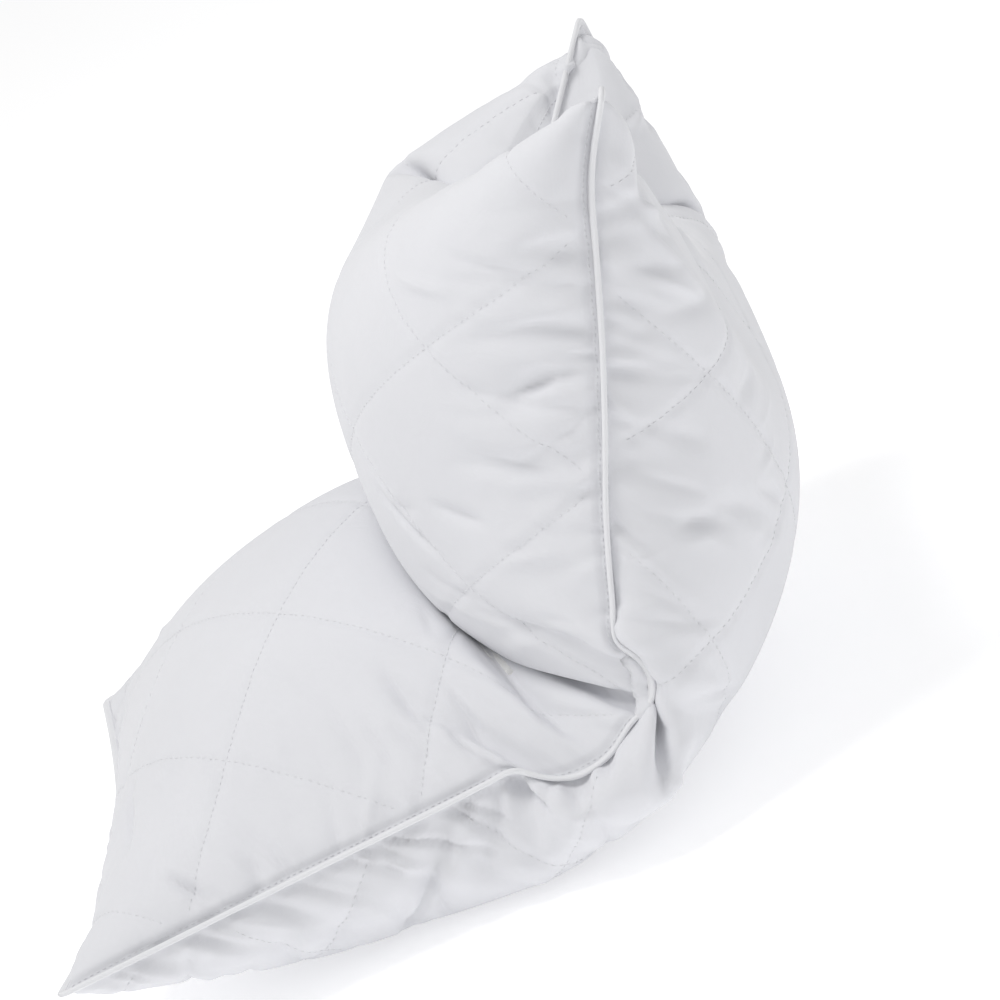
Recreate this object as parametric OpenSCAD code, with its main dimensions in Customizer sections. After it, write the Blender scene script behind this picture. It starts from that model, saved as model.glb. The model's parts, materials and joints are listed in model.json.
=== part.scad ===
// Quilted and piped bed pillow, folded across its middle.
// The lower half lies flat, and the upper half turns about the fold.
// Origin: the middle of the flat underside. +X runs along the pillow towards the fold, +Z is up.
// Each half is drawn in its own frame: u along the pillow from the fold, v across it, w towards the
// face that the fold closes on.

/* [Panels] */
// Cut length of the two cover panels, short seam to short seam
cut_length = 660; // [560:5:800]
// Cut width of the two cover panels, long seam to long seam
cut_width = 510; // [420:5:620]
// Length that filling the pillow draws in, corner to corner
draw_length = 4; // [0:1:30]
// Width that filling the pillow draws in, corner to corner
draw_width = 30; // [0:1:50]
// How far each long seam bows in at its middle
long_seam_bow = 22; // [0:1:40]
// How far each short seam bows in at its middle
short_seam_bow = 18; // [0:1:40]

/* [Loft] */
// Height of the seam above the surface that the lower half lies on
seam_height = 84; // [60:1:120]
// How far the underside would bulge below the seam if nothing pressed it flat
free_bulge = 108; // [90:1:150]
// Height of the lower half's upper face above the seam
lower_crown = 106; // [60:1:140]
// Height of the upper half's inner face above the seam
upper_crown = 132; // [80:1:160]
// How much the upper half's outer face bulges beyond the fold's round
outer_swell = 34; // [0:1:45]

/* [Fold] */
// Angle that the upper half is folded up from flat
fold_angle = 67; // [40:1:75]
// How far the fold lies from the pillow's middle, which makes the upper half the longer one
fold_offset = 8; // [-30:1:30]
// How much further the fold can close
fold_spare = 12; // [4:1:20]
// Room between the round of the fold and the upper half
fold_gap = 1.6; // [1:0.1:4]

/* [Layers] */
// Thickness of the cover cloth
cover_t = 1; // [0.6:0.1:2]
// Thickness of the quilted wadding
wadding_t = 6; // [3:0.5:12]
// Thickness of the lining cloth behind the wadding
lining_t = 0.8; // [0.6:0.1:1.5]
// Room between one layer and the next
layer_gap = 0.8; // [0.6:0.1:1.2]
// Room between the lining and the fill
fill_gap = 1.5; // [0.5:0.1:4]

/* [Piping] */
// Radius of the filler cord
cord_r = 1.4; // [0.8:0.1:3]
// Thickness of the sleeve cloth round the cord
sleeve_t = 0.8; // [0.5:0.1:1.2]
// Width of the sleeve's open side, as an angle
sleeve_mouth = 50; // [20:5:90]

/* [Stitching] */
// Spacing of the diagonal quilting lines
quilt_pitch = 130; // [90:5:180]
// Lean of the quilting lines from the length of the pillow
quilt_angle = 42; // [30:1:60]
// Distance that the quilting stops short of the seams, as a share of the half
quilt_reach = 0.9; // [0.7:0.01:0.95]
// Radius of the thread
thread_r = 0.4; // [0.3:0.05:0.5]
// Distance of the edge stitches from the seam's edge
edge_stitch_in = 5; // [4:0.5:7]
// Length of the closed filling gap in the lower short seam
closing_length = 160; // [80:5:250]
// Distance of the closing stitches from the seam's edge
closing_stitch_in = 8; // [7:0.5:9]

/* [Hidden] */

// Grid of the soft faces: steps along a half, steps round the fold, steps across
ALONG = 14;
ROUND = 6;
ACROSS = 14;
TUBE_SIDES = 8;
THREAD_SIDES = 5;
SOLVE_STEPS = 16;

LOWER = 0;
UPPER = 1;
TOP = 1;
BOTTOM = -1;

function length_of(half) = (cut_length - draw_length) / 2 + (half == UPPER ? fold_offset : -fold_offset);
half_width = (cut_width - draw_width) / 2;
// Half the gap between the top and the bottom layers at the seam, where the edge thread runs
seam_half = thread_r + 0.2;
// Share of the loft that is left at the seams, so that every layer keeps an edge
seam_share = 0.02;
// The layers' edges step in from the seam a little faster than their faces do
edge_step = 1.2;
// How much further from the round of the fold a layer starts, for its depth
layer_ease = 0.2;
// The angle between a half and the face of its fold when the fold is fully closed
crease_angle = (180 - fold_angle - fold_spare) / 2;
sleeve_r = cord_r + layer_gap / 2 + sleeve_t;
// The piping and the edge stitches stop this far from the fold's axis, so that they can turn about it
fold_end = 1.6 * sleeve_r;
// The origin lies under the middle of the lower half
fold_x = length_of(LOWER) / 2;

cover_in = 0;
wadding_in = cover_t + layer_gap;
lining_in = wadding_in + wadding_t + layer_gap;
fill_in = lining_in + lining_t + fill_gap;

cloth_white = [0.95, 0.95, 0.96];
cloth_shade = [0.9, 0.9, 0.92];
wadding_white = [0.97, 0.97, 0.95];
lining_white = [0.88, 0.89, 0.9];
fill_white = [0.99, 0.98, 0.96];
thread_white = [0.8, 0.81, 0.84];

// Loft across the width: 1 in the middle, almost nothing at the long seams
function across(s) = seam_share + (1 - seam_share) * pow(max(0, 1 - pow(abs(s), 2.3)), 0.6);
// Loft along a half: 1 at the fold, almost nothing at the short seam
function along(t) = seam_share + (1 - seam_share) * pow(max(0, 1 - pow(max(0, t), 3.4)), 0.6);
// The smaller of two values, rounded where they are alike
function soft_min(a, b) = a <= 0 ? 0 : a * b / pow(pow(a, 3) + pow(b, 3), 1 / 3);

// A layer that is d inside the cover's face
function end_of(half, s, d) = length_of(half) - edge_step * d - short_seam_bow * cos(90 * s);
function side_of(t, d) = half_width - edge_step * d - long_seam_bow * cos(90 * max(0, t));
function at(half, u, s, d, w) =
    let (t = u / end_of(half, s, d))
    [u, s * side_of(t, d), w];

// Radius of the round of the fold
function round_r(s, d) = min(seam_height - seam_half - d, (free_bulge - d) * across(s));
// Room that the upper half leaves round the fold, at a layer's own place across the width. The deeper
// layers stand back a little more
function socket_r(s, d) =
    let (outer_s = min(1, abs(s) * side_of(0, d) / side_of(0, 0)))
    round_r(outer_s, 0) + fold_gap + layer_ease * d;

// Height of a half's faces above and below the seam
function crown(half) = half == LOWER ? lower_crown : upper_crown;
function inner_w(half, u, s, d) =
    let (t = u / end_of(half, s, d))
    soft_min(u * tan(crease_angle) - d / cos(crease_angle), (crown(half) - d) * across(s) * along(t));
function outer_w(half, u, s, d) =
    let (
        t = u / end_of(half, s, d),
        swell = outer_swell * across(s) * sin(180 * pow(min(1, max(0, t)), 0.85))
    )
    half == LOWER
        ? min(seam_height - seam_half - d, (free_bulge - d) * across(s) * along(t))
        : (round_r(s, d) + fold_gap + cover_t + swell) * along(t);

// Where a face starts: the place that is r from the fold's axis
function inner_start(half, s, d, r, low = 0, high = 0, left = SOLVE_STEPS) =
    left == SOLVE_STEPS && high == 0 ? inner_start(half, s, d, r, 0, r, left)
    : left == 0 ? (low + high) / 2
    : let (u = (low + high) / 2, w = inner_w(half, u, s, d))
      u * u + w * w < r * r
        ? inner_start(half, s, d, r, u, high, left - 1)
        : inner_start(half, s, d, r, low, u, left - 1);
function outer_start(s, d, r) = sqrt(max(0, pow(r, 2) - pow(outer_w(UPPER, 0, s, d), 2)));

function across_steps() = [for (j = [0 : ACROSS]) -cos(180 * j / ACROSS)];
function along_steps(first, last) =
    [for (i = [0 : ALONG]) first + (last - first) * (1 - cos(180 * i / ALONG)) / 2];

// Points of a face along one line of the pillow, from the fold to the short seam
function arc(half, s, d, r, from, to) =
    [for (i = [0 : ROUND - 1])
        let (a = from + (to - from) * i / ROUND)
        at(half, r * cos(a), s, d, r * sin(a))];
function inner_run(half, s, d, first) =
    [for (u = along_steps(first, end_of(half, s, d))) at(half, u, s, d, inner_w(half, u, s, d))];
function outer_run(half, s, d, first) =
    [for (u = along_steps(first, end_of(half, s, d))) at(half, u, s, d, -outer_w(half, u, s, d))];

// The lower half's faces go right round the fold, and start at its far side
function lower_top(s, d) =
    let (
        r = round_r(s, d),
        first = inner_start(LOWER, s, d, r),
        to = acos(min(1, first / r))
    )
    concat(arc(LOWER, s, d, r, 180, to), inner_run(LOWER, s, d, first));
function lower_bottom(s, d) =
    let (r = round_r(s, d))
    concat(arc(LOWER, s, d, r, 180, 270), outer_run(LOWER, s, d, 0));

// The upper half's faces start at the room left round the fold. A layer's two faces start together
function upper_top(s, d, deepest) =
    inner_run(UPPER, s, d, inner_start(UPPER, s, deepest, socket_r(s, deepest)));
function upper_bottom(s, d, deepest) =
    outer_run(UPPER, s, d, outer_start(s, deepest, socket_r(s, deepest)));

function lifted(points, side) = [for (p = points) p + [0, 0, side * seam_half]];
function face_rows(half, side, d, deepest) =
    [for (s = across_steps())
        lifted(
            half == LOWER
                ? (side == TOP ? lower_top(s, d) : lower_bottom(s, d))
                : (side == TOP ? upper_top(s, d, deepest) : upper_bottom(s, d, deepest)),
            side)];

function flat_list(rows) = [for (row = rows) for (p = row) p];

// A closed solid between two grids of points that have the same rows
module slab(outer, inner, flip = false) {
    rows = len(outer);
    cols = len(outer[0]);
    count = rows * cols;
    function quad(a, b, c, d) = flip ? [[a, c, b], [a, d, c]] : [[a, b, c], [a, c, d]];
    faces = [
        for (j = [0 : rows - 2]) for (i = [0 : cols - 2])
            let (a = j * cols + i, b = a + 1, c = a + cols + 1, d = a + cols)
            for (f = concat(quad(a, b, c, d), quad(count + a, count + d, count + c, count + b))) f,
        for (i = [0 : cols - 2])
            let (a = i, b = (rows - 1) * cols + i)
            for (f = concat(
                quad(a, count + a, count + a + 1, a + 1),
                quad(b, b + 1, count + b + 1, count + b))) f,
        for (j = [0 : rows - 2])
            let (a = j * cols, b = a + cols - 1)
            for (f = concat(
                quad(a, a + cols, count + a + cols, count + a),
                quad(b, count + b, count + b + cols, b + cols))) f
    ];
    polyhedron(points = concat(flat_list(outer), flat_list(inner)), faces = faces, convexity = 6);
}

// Moves a half from its own frame to its place
module placed(half) {
    translate([fold_x, 0, seam_height])
        rotate([0, half == UPPER ? -fold_angle : 0, 0])
            mirror([half == LOWER ? 1 : 0, 0, 0])
                children();
}

// One layer of one face of one half, between two depths inside the cover's face
module layer(half, side, d, thickness) {
    deepest = d + thickness;
    placed(half)
        slab(
            face_rows(half, side, d, deepest),
            face_rows(half, side, deepest, deepest),
            flip = side == TOP);
}

// The loose fill of a half
module fill(half) {
    d = fill_in;
    // Where the fill's two faces meet on the room left round the fold
    middle = -20;
    top = half == LOWER
        ? face_rows(LOWER, TOP, d, d)
        : [for (s = across_steps())
            let (r = socket_r(s, d) + fill_gap, first = inner_start(UPPER, s, d, r), to = acos(min(1, first / r)))
            concat(arc(UPPER, s, d, r, middle + 8, to), inner_run(UPPER, s, d, first))];
    bottom = half == LOWER
        ? face_rows(LOWER, BOTTOM, d, d)
        : [for (s = across_steps())
            let (r = socket_r(s, d) + fill_gap, first = outer_start(s, d, r), to = -acos(min(1, first / r)))
            concat(arc(UPPER, s, d, r, middle - 8, to), outer_run(UPPER, s, d, first))];
    placed(half) slab(top, bottom, flip = true);
}

// The seam's edge in plan, from the near side of the fold round to its far side
function seam_edge(half, first = fold_end) =
    let (
        long = length_of(half),
        side = [for (i = [0 : ALONG])
            let (u = first + (long - first) * i / ALONG)
            [u, side_of(u / long, 0)]]
    )
    concat(
        [for (p = side) [p[0], -p[1]]],
        [for (j = [1 : ACROSS - 1]) let (s = -1 + 2 * j / ACROSS) [end_of(half, s, 0), s * half_width]],
        [for (i = [ALONG : -1 : 0]) side[i]]);

function unit(p) = p / norm(p);
// Sideways direction of a plan line at one of its points, stretched at a corner to keep its distance
function miter(line, i) =
    let (
        ahead = unit(line[min(i + 1, len(line) - 1)] - line[min(i, len(line) - 2)]),
        behind = unit(line[max(i, 1)] - line[max(i - 1, 0)]),
        side = unit([ahead[1] + behind[1], -ahead[0] - behind[0]])
    )
    side / max(0.3, side * [ahead[1], -ahead[0]]);

// Rings along a plan line: radius r, over the angles from first to last, at a distance out of the line
function rings(line, out, r, first, last, sides) =
    [for (i = [0 : len(line) - 1])
        let (side = miter(line, i))
        [for (k = [0 : sides])
            let (a = first + (last - first) * k / sides)
            [each line[i] + side * (out + r * cos(a)), r * sin(a)]]];

// A round solid tube along rows of ring points
module tube(rows) {
    sides = len(rows[0]) - 1;
    points = [for (row = rows) for (k = [0 : sides - 1]) row[k]];
    count = len(rows);
    polyhedron(
        points = points,
        faces = concat(
            [[for (k = [sides - 1 : -1 : 0]) k]],
            [[for (k = [0 : sides - 1]) (count - 1) * sides + k]],
            [for (j = [0 : count - 2]) for (k = [0 : sides - 1])
                let (a = j * sides + k, b = j * sides + (k + 1) % sides)
                for (f = [[a, b + sides, a + sides], [a, b, b + sides]]) f]),
        convexity = 6);
}

module piping_sleeve(half) {
    out = sleeve_r + layer_gap;
    shut = 180 - sleeve_mouth / 2;
    placed(half)
        slab(
            rings(seam_edge(half), out, sleeve_r, -shut, shut, TUBE_SIDES),
            rings(seam_edge(half), out, sleeve_r - sleeve_t, -shut, shut, TUBE_SIDES));
}

module piping_cord(half) {
    placed(half)
        tube(rings(seam_edge(half), sleeve_r + layer_gap, cord_r, 0, 360, TUBE_SIDES));
}

module edge_stitching(half) {
    beside = 1 - (edge_stitch_in + thread_r) / side_of(0, 0);
    first = half == LOWER ? fold_end : socket_r(beside, 0) + fold_gap;
    placed(half)
        tube(rings(seam_edge(half, first), -edge_stitch_in, thread_r, 0, 360, THREAD_SIDES));
}

module closing_seam() {
    reach = closing_length / 2 / half_width;
    line = [for (j = [-3 : 3]) let (s = reach * j / 3) [end_of(LOWER, s, 0), s * half_width]];
    placed(LOWER)
        tube(rings(line, -closing_stitch_in, thread_r, 0, 360, THREAD_SIDES));
}

// The ends of the diagonal quilting lines that cross one half, both ways
function quilt_lines(half) =
    [for (lean = [-1, 1]) for (n = [-6 : 6])
        let (
            dir = [cos(quilt_angle), lean * sin(quilt_angle)],
            start = [-dir[1], dir[0]] * (n + 0.5) * quilt_pitch,
            nearest = seam_height + cover_t + fold_gap,
            furthest = quilt_reach * (length_of(half) - short_seam_bow),
            widest = quilt_reach * (half_width - long_seam_bow),
            kept = [for (q = [-cut_length : 10 : cut_length])
                let (p = start + dir * q)
                if (p[0] > nearest && p[0] < furthest && abs(p[1]) < widest) p]
        )
        if (len(kept) > 5) [kept[0], kept[len(kept) - 1]]];

// The quilting thread of one face: it is sewn into the cover, flush with its outside
module quilting(half, side) {
    steps = 8;
    placed(half)
        for (ends = quilt_lines(half))
            tube([for (i = [0 : steps])
                let (
                    p = ends[0] + (ends[1] - ends[0]) * i / steps,
                    s = p[1] / side_of(p[0] / length_of(half), 0),
                    face = side == TOP ? inner_w(half, p[0], s, 0) : outer_w(half, p[0], s, 0),
                    w = side * (face + seam_half - thread_r),
                    dir = unit(ends[1] - ends[0]),
                    across_dir = [-dir[1], dir[0]]
                )
                [for (k = [0 : THREAD_SIDES])
                    let (a = -360 * k / THREAD_SIDES)
                    [each p + across_dir * thread_r * cos(a), w + thread_r * sin(a)]]]);
}

module top_cover_lower() { color(cloth_white) layer(LOWER, TOP, cover_in, cover_t); }
module bottom_cover_lower() { color(cloth_shade) layer(LOWER, BOTTOM, cover_in, cover_t); }
module top_wadding_lower() { color(wadding_white) layer(LOWER, TOP, wadding_in, wadding_t); }
module bottom_wadding_lower() { color(wadding_white) layer(LOWER, BOTTOM, wadding_in, wadding_t); }
module top_lining_lower() { color(lining_white) layer(LOWER, TOP, lining_in, lining_t); }
module bottom_lining_lower() { color(lining_white) layer(LOWER, BOTTOM, lining_in, lining_t); }
module fill_lower() { color(fill_white) fill(LOWER); }
module piping_sleeve_lower() { color(cloth_white) piping_sleeve(LOWER); }
module piping_cord_lower() { color(wadding_white) piping_cord(LOWER); }
module top_quilting_lower() { color(thread_white) quilting(LOWER, TOP); }
module bottom_quilting_lower() { color(thread_white) quilting(LOWER, BOTTOM); }
module edge_stitching_lower() { color(thread_white) edge_stitching(LOWER); }
module closing_stitching() { color(thread_white) closing_seam(); }
module top_cover_upper() { color(cloth_white) layer(UPPER, TOP, cover_in, cover_t); }
module bottom_cover_upper() { color(cloth_shade) layer(UPPER, BOTTOM, cover_in, cover_t); }
module top_wadding_upper() { color(wadding_white) layer(UPPER, TOP, wadding_in, wadding_t); }
module bottom_wadding_upper() { color(wadding_white) layer(UPPER, BOTTOM, wadding_in, wadding_t); }
module top_lining_upper() { color(lining_white) layer(UPPER, TOP, lining_in, lining_t); }
module bottom_lining_upper() { color(lining_white) layer(UPPER, BOTTOM, lining_in, lining_t); }
module fill_upper() { color(fill_white) fill(UPPER); }
module piping_sleeve_upper() { color(cloth_white) piping_sleeve(UPPER); }
module piping_cord_upper() { color(wadding_white) piping_cord(UPPER); }
module top_quilting_upper() { color(thread_white) quilting(UPPER, TOP); }
module bottom_quilting_upper() { color(thread_white) quilting(UPPER, BOTTOM); }
module edge_stitching_upper() { color(thread_white) edge_stitching(UPPER); }

top_cover_lower();
bottom_cover_lower();
top_wadding_lower();
bottom_wadding_lower();
top_lining_lower();
bottom_lining_lower();
fill_lower();
piping_sleeve_lower();
piping_cord_lower();
top_quilting_lower();
bottom_quilting_lower();
edge_stitching_lower();
closing_stitching();
top_cover_upper();
bottom_cover_upper();
top_wadding_upper();
bottom_wadding_upper();
top_lining_upper();
bottom_lining_upper();
fill_upper();
piping_sleeve_upper();
piping_cord_upper();
top_quilting_upper();
bottom_quilting_upper();
edge_stitching_upper();
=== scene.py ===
import json
import math
from functools import lru_cache

import bpy
import numpy as np
from bpy.props import FloatProperty, FloatVectorProperty, IntProperty, PointerProperty
from mathutils import Matrix, Vector
from mathutils.bvhtree import BVHTree


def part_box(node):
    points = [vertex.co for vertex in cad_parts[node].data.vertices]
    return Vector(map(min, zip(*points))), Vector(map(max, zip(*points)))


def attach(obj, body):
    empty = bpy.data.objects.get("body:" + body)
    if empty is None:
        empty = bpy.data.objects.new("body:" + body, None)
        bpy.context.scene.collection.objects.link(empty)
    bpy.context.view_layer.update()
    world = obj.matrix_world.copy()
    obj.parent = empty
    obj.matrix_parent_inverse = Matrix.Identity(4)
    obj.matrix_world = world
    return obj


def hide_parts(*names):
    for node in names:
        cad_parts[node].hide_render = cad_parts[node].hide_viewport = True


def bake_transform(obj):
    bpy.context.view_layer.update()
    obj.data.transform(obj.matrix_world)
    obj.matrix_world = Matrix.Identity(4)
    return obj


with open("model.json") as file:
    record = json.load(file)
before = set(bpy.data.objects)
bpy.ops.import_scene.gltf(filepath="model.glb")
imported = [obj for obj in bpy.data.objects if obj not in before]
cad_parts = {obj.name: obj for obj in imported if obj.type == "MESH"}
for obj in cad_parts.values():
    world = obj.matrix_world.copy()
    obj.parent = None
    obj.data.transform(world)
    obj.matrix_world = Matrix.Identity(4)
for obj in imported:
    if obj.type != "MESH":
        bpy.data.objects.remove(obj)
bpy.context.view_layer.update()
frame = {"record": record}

bl_info = {
    "name": "Folded Bed Pillow",
    "version": (1, 0, 0),
    "blender": (4, 5, 0),
    "location": "View3D > Sidebar > Pillow",
    "description": "Builds a quilted, piped bed pillow folded over on itself, with its filling and stage",
    "category": "Add Mesh",
}

# The fold: the hinge of the frame, and how far the upper half stands up at rest
HINGE = next(joint for joint in frame["record"]["behaviour"]["joints"] if joint["name"] == "fold")
FOLD = np.array(HINGE["pos_m"], float)
LEAN = math.radians(-HINGE["range_deg"][0])
ALONG_UPPER = np.array([math.cos(LEAN), 0, math.sin(LEAN)])
INWARD = np.array([-math.sin(LEAN), 0, math.cos(LEAN)])
SEAM_LEVEL = FOLD[2]
LOWER_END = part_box("top_cover_lower")[0][0]
EAR_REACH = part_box("piping_cord_lower")[1][1] - 0.0015

# Plane of contact between the two halves, inside the fold: a point and the plane's slope
CREASE_FOOT = np.array([FOLD[0] - 0.023, 0, SEAM_LEVEL - 0.015])
CREASE_SLOPE = math.radians(123)
CREASE_SIDE = np.array([math.sin(CREASE_SLOPE), 0, -math.cos(CREASE_SLOPE)])
CREASE_RISE = np.array([math.cos(CREASE_SLOPE), 0, math.sin(CREASE_SLOPE)])
CREASE_ALONG = 0.305
CREASE_SKIN = 0.0008
CREASE_CLEAR = 0.012

# Flattened back of the upper half: where it starts above the fold, how deep, and its slope
FLAT_BACK_START = 0.105
FLAT_BACK_DEPTH = 0.116
FLAT_BACK_SLOPE = 0.54
FLAT_BACK_EDGE = 0.018

# Slanting shoulder of the inner face, which falls away to the dip in the top end seam
SLANT_START = 0.193
SLANT_SHIFT = 0.244
SLANT_DEPTH = 0.141
SLANT_SLOPE = 1.5
SLANT_EASING = 5.5
SLANT_EDGE = 0.018
SLANT_FAR = 0.06

# How close the cloth comes to the floor while it settles, and once its creases are on it
FLOOR_SKIN = 0.0008
CREASED_SKIN = 0.0004

# Near long seam from the lower ear to the upper ear: run from the lower end, rise over the seam level
LONG_SEAM = [
    (-0.006, -0.0100),
    (0.060, -0.0077),
    (0.130, -0.0050),
    (0.200, -0.0022),
    (0.245, -0.0003),
    (0.258, 0.0000),
    (0.264, -0.0050),
    (0.273, -0.0115),
    (0.288, -0.0157),
    (0.307, -0.0126),
    (0.323, -0.0030),
    (0.338, 0.0052),
    (0.344, 0.0157),
    (0.344, 0.0260),
    (0.341, 0.0345),
    (0.337, 0.0408),
    (0.345, 0.0650),
    (0.361, 0.1077),
    (0.380, 0.1517),
    (0.397, 0.1925),
    (0.412, 0.2320),
    (0.428, 0.2740),
    (0.452, 0.3120),
]
ELBOW = 16
SEAM_SPAN = LONG_SEAM[-1][0]
SEAM_BOW = 0.024
BOW_DROP = 0.305

# Room in the panels: distance from the lower end, then widths and lengths of (top, bottom)
# against the plain cut
ROOM = [
    (0.00, (0.980, 1.000), (1.00, 1.00)),
    (0.05, (0.955, 1.000), (1.00, 1.00)),
    (0.20, (0.955, 1.010), (1.00, 1.00)),
    (0.27, (0.970, 1.080), (1.00, 1.13)),
    (0.36, (1.000, 1.110), (1.00, 1.14)),
    (0.42, (1.015, 1.075), (1.01, 1.06)),
    (0.50, (1.110, 1.035), (1.07, 1.00)),
    (0.60, (1.125, 1.020), (1.09, 1.00)),
    (0.68, (1.000, 1.000), (1.00, 1.00)),
]

BACK_ROOM = 0.07
BACK_ROOM_START = 0.15
BACK_ROOM_RISE = 0.1

# Cloth gathered on to the seams: how much more of it than seam, and how far in that reaches
GATHER = 1.045
GATHER_REACH = 0.038

# Grid of the cloth before it is refined, as cells along and across a panel
CELLS_ALONG = 41
CELLS_ACROSS = 31

# The unfilled cloth: how high each panel starts off the seams, and where along it the fold turns
START_PUFF_TOP = 0.070
START_PUFF_BOTTOM = 0.060
TURN_START = 0.42
TURN_SPAN = 0.14

# Filling the cloth on each grid, coarse to fine: steps, passes in a step, pressure,
# give of slack cloth, stiffness in bending and in shear
SETTLING = (
    (320, 14, 0.00025, 0.3, 0.2, 0.25),
    (150, 12, 0.00007, 0.25, 0.2, 0.2),
    (90, 8, 0.00003, 0.2, 0.25, 0.2),
)
MOMENTUM = 0.96
JITTER = 0.00015

# Quilting in the flat panels: slope of the lines, and where the first of each family leaves the seam
QUILT_SLOPE = 0.75
QUILT_STARTS = {"top": (0.203, 0.069), "bottom": (0.443, 0.484)}
GROOVE_WIDTH = 0.0021
QUILT_MARGIN = 0.012

# Hard creases that leave the kinks of the near seam, as (from, to, reach, width, depth)
DEEP_CREASES = {
    "top": (
        (0.256, 0.218, 0.055, 0.006, 0.0030),
        (0.545, 0.560, 0.060, 0.003, 0.0022),
    ),
    "bottom": (
        (0.374, 0.350, 0.160, 0.0060, 0.0070),
        (0.256, 0.286, 0.110, 0.0045, 0.0035),
        (0.545, 0.530, 0.07, 0.003, 0.002),
    ),
}

# Ditch beside the piping: its distance from the seam, its width, and its depth in each panel
DITCH_INSET = 0.003
DITCH_WIDTH = 0.0022
DITCH_DEPTHS = (0.0019, 0.0008)

# Gathers at the seams and longer soft creases
SOFT_CREASES = 190
SOFT_CREASE_SIZE = 1.6
GATHER_DRAG = 1.1
EAR_FADE = 0.05

# Piping: cells in from the seam that give its direction, and spacing of its rings
PIPING_LOOK_IN = 12
PIPING_STEP = 0.0026

# Layers under the covers: extra clearance, and the most of the room inside that one side takes
LAYER_CLEARANCE = 0.001
ROOM_SHARE = 0.42
RAY_START = 0.001

# Shift of the flat texture coordinates, and the seed of the random jitter, gathers and creases
UV_START = 0.02
SEED = 11

# Lights: place, side of the square lamp, and colour
KEY_PLACE, KEY_SIZE, KEY_COLOUR = (-0.45, -0.5, 2.5), 0.9, (1.0, 0.99, 0.98)
BACK_PLACE, BACK_SIZE, BACK_COLOUR = (1.6, 1.6, 1.4), 2.0, (0.97, 0.98, 1.0)


# ---- seam lines


def smooth_path(points, count):
    """Evenly spaced points of a smooth line through the given ones, and the line's length."""
    p = np.asarray(points, float)
    padded = np.vstack([2 * p[0] - p[1], p, 2 * p[-1] - p[-2]])
    parts = []
    for k in range(len(p) - 1):
        a, b, c, d = padded[k : k + 4]
        t0 = 0.0
        t1 = t0 + np.linalg.norm(b - a) ** 0.5
        t2 = t1 + np.linalg.norm(c - b) ** 0.5
        t3 = t2 + np.linalg.norm(d - c) ** 0.5
        t = np.linspace(t1, t2, 40, endpoint=False)[:, None]
        ab = (t1 - t) / (t1 - t0) * a + (t - t0) / (t1 - t0) * b
        bc = (t2 - t) / (t2 - t1) * b + (t - t1) / (t2 - t1) * c
        cd = (t3 - t) / (t3 - t2) * c + (t - t2) / (t3 - t2) * d
        abc = (t2 - t) / (t2 - t0) * ab + (t - t0) / (t2 - t0) * bc
        bcd = (t3 - t) / (t3 - t1) * bc + (t - t1) / (t3 - t1) * cd
        parts.append((t2 - t) / (t2 - t1) * abc + (t - t1) / (t2 - t1) * bcd)
    fine = np.vstack(parts + [p[-1:]])
    run = np.r_[0, np.cumsum(np.linalg.norm(np.diff(fine, axis=0), axis=1))]
    at = np.linspace(0, run[-1], count)
    return np.stack([np.interp(at, run, fine[:, k]) for k in range(3)], 1), run[-1]


def near_seam():
    """Points of the long seam on the side of the camera."""
    out = []
    for run, rise in LONG_SEAM:
        share = min(1.0, max(0.0, run / SEAM_SPAN))
        bow = SEAM_BOW * math.sin(math.pi * share) ** 0.8
        out.append(np.array([LOWER_END + run, bow - EAR_REACH, SEAM_LEVEL + rise - BOW_DROP * bow]))
    return out


def far_seam():
    """Points of the other long seam: its upper stretch leans back and comes in to the middle."""
    out = []
    start = np.array([FOLD[0] + 0.027, 0.222, SEAM_LEVEL + 0.038])
    end = FOLD + 0.290 * ALONG_UPPER - 0.008 * INWARD + np.array([0, 0.155, 0])
    elbow_run = LONG_SEAM[ELBOW - 1][0]
    for k, (point, (run, _)) in enumerate(zip(near_seam(), LONG_SEAM)):
        if k < ELBOW:
            drop = max(0.0, 1 - run / 0.258)
            mirrored = np.array([1, -1, 1]) * point
            out.append(mirrored + np.array([0.010 - 0.016 * drop, -0.009 * drop, -0.012 * drop]))
            continue
        t = (run - elbow_run) / (SEAM_SPAN - elbow_run)
        sway = 0.020 * math.sin(2 * math.pi * t)
        bow = np.array([0, 0.016 * math.sin(math.pi * t), 0])
        out.append(start + (end - start) * t + INWARD * sway + bow)
    return out


def lower_end_seam(near, far):
    """Points of the end seam that lies near the floor."""
    out = []
    for s in np.linspace(0, 1, 9):
        arch = math.sin(math.pi * s)
        out.append(near + (far - near) * s + np.array([0.012 * arch**0.9, 0, -0.018 * arch]))
    return out


def upper_end_seam(near, far):
    """Points of the end seam at the top, pressed down and in at its middle."""
    dip = (near + far) / 2 - 0.158 * ALONG_UPPER + 0.050 * INWARD
    dip[1] = -0.030
    return [
        near,
        near * 0.8 + dip * 0.2 - 0.027 * ALONG_UPPER,
        near * 0.5 + dip * 0.5 - 0.030 * ALONG_UPPER,
        near * 0.2 + dip * 0.8 - 0.008 * ALONG_UPPER,
        dip,
        far * 0.2 + dip * 0.8 - 0.003 * ALONG_UPPER,
        far * 0.5 + dip * 0.5,
        far * 0.8 + dip * 0.2,
        far,
    ]


def seam_lines(cells_along, cells_across):
    """The four seams on the grid, as (lower end, upper end, near, far), and their lengths."""
    near, near_length = smooth_path(near_seam(), cells_along + 1)
    far, far_length = smooth_path(far_seam(), cells_along + 1)
    low, low_length = smooth_path(lower_end_seam(near[0], far[0]), cells_across + 1)
    high, high_length = smooth_path(upper_end_seam(near[-1], far[-1]), cells_across + 1)
    return (low, high, near, far), (low_length, high_length, near_length, far_length)


# ---- cloth


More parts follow.
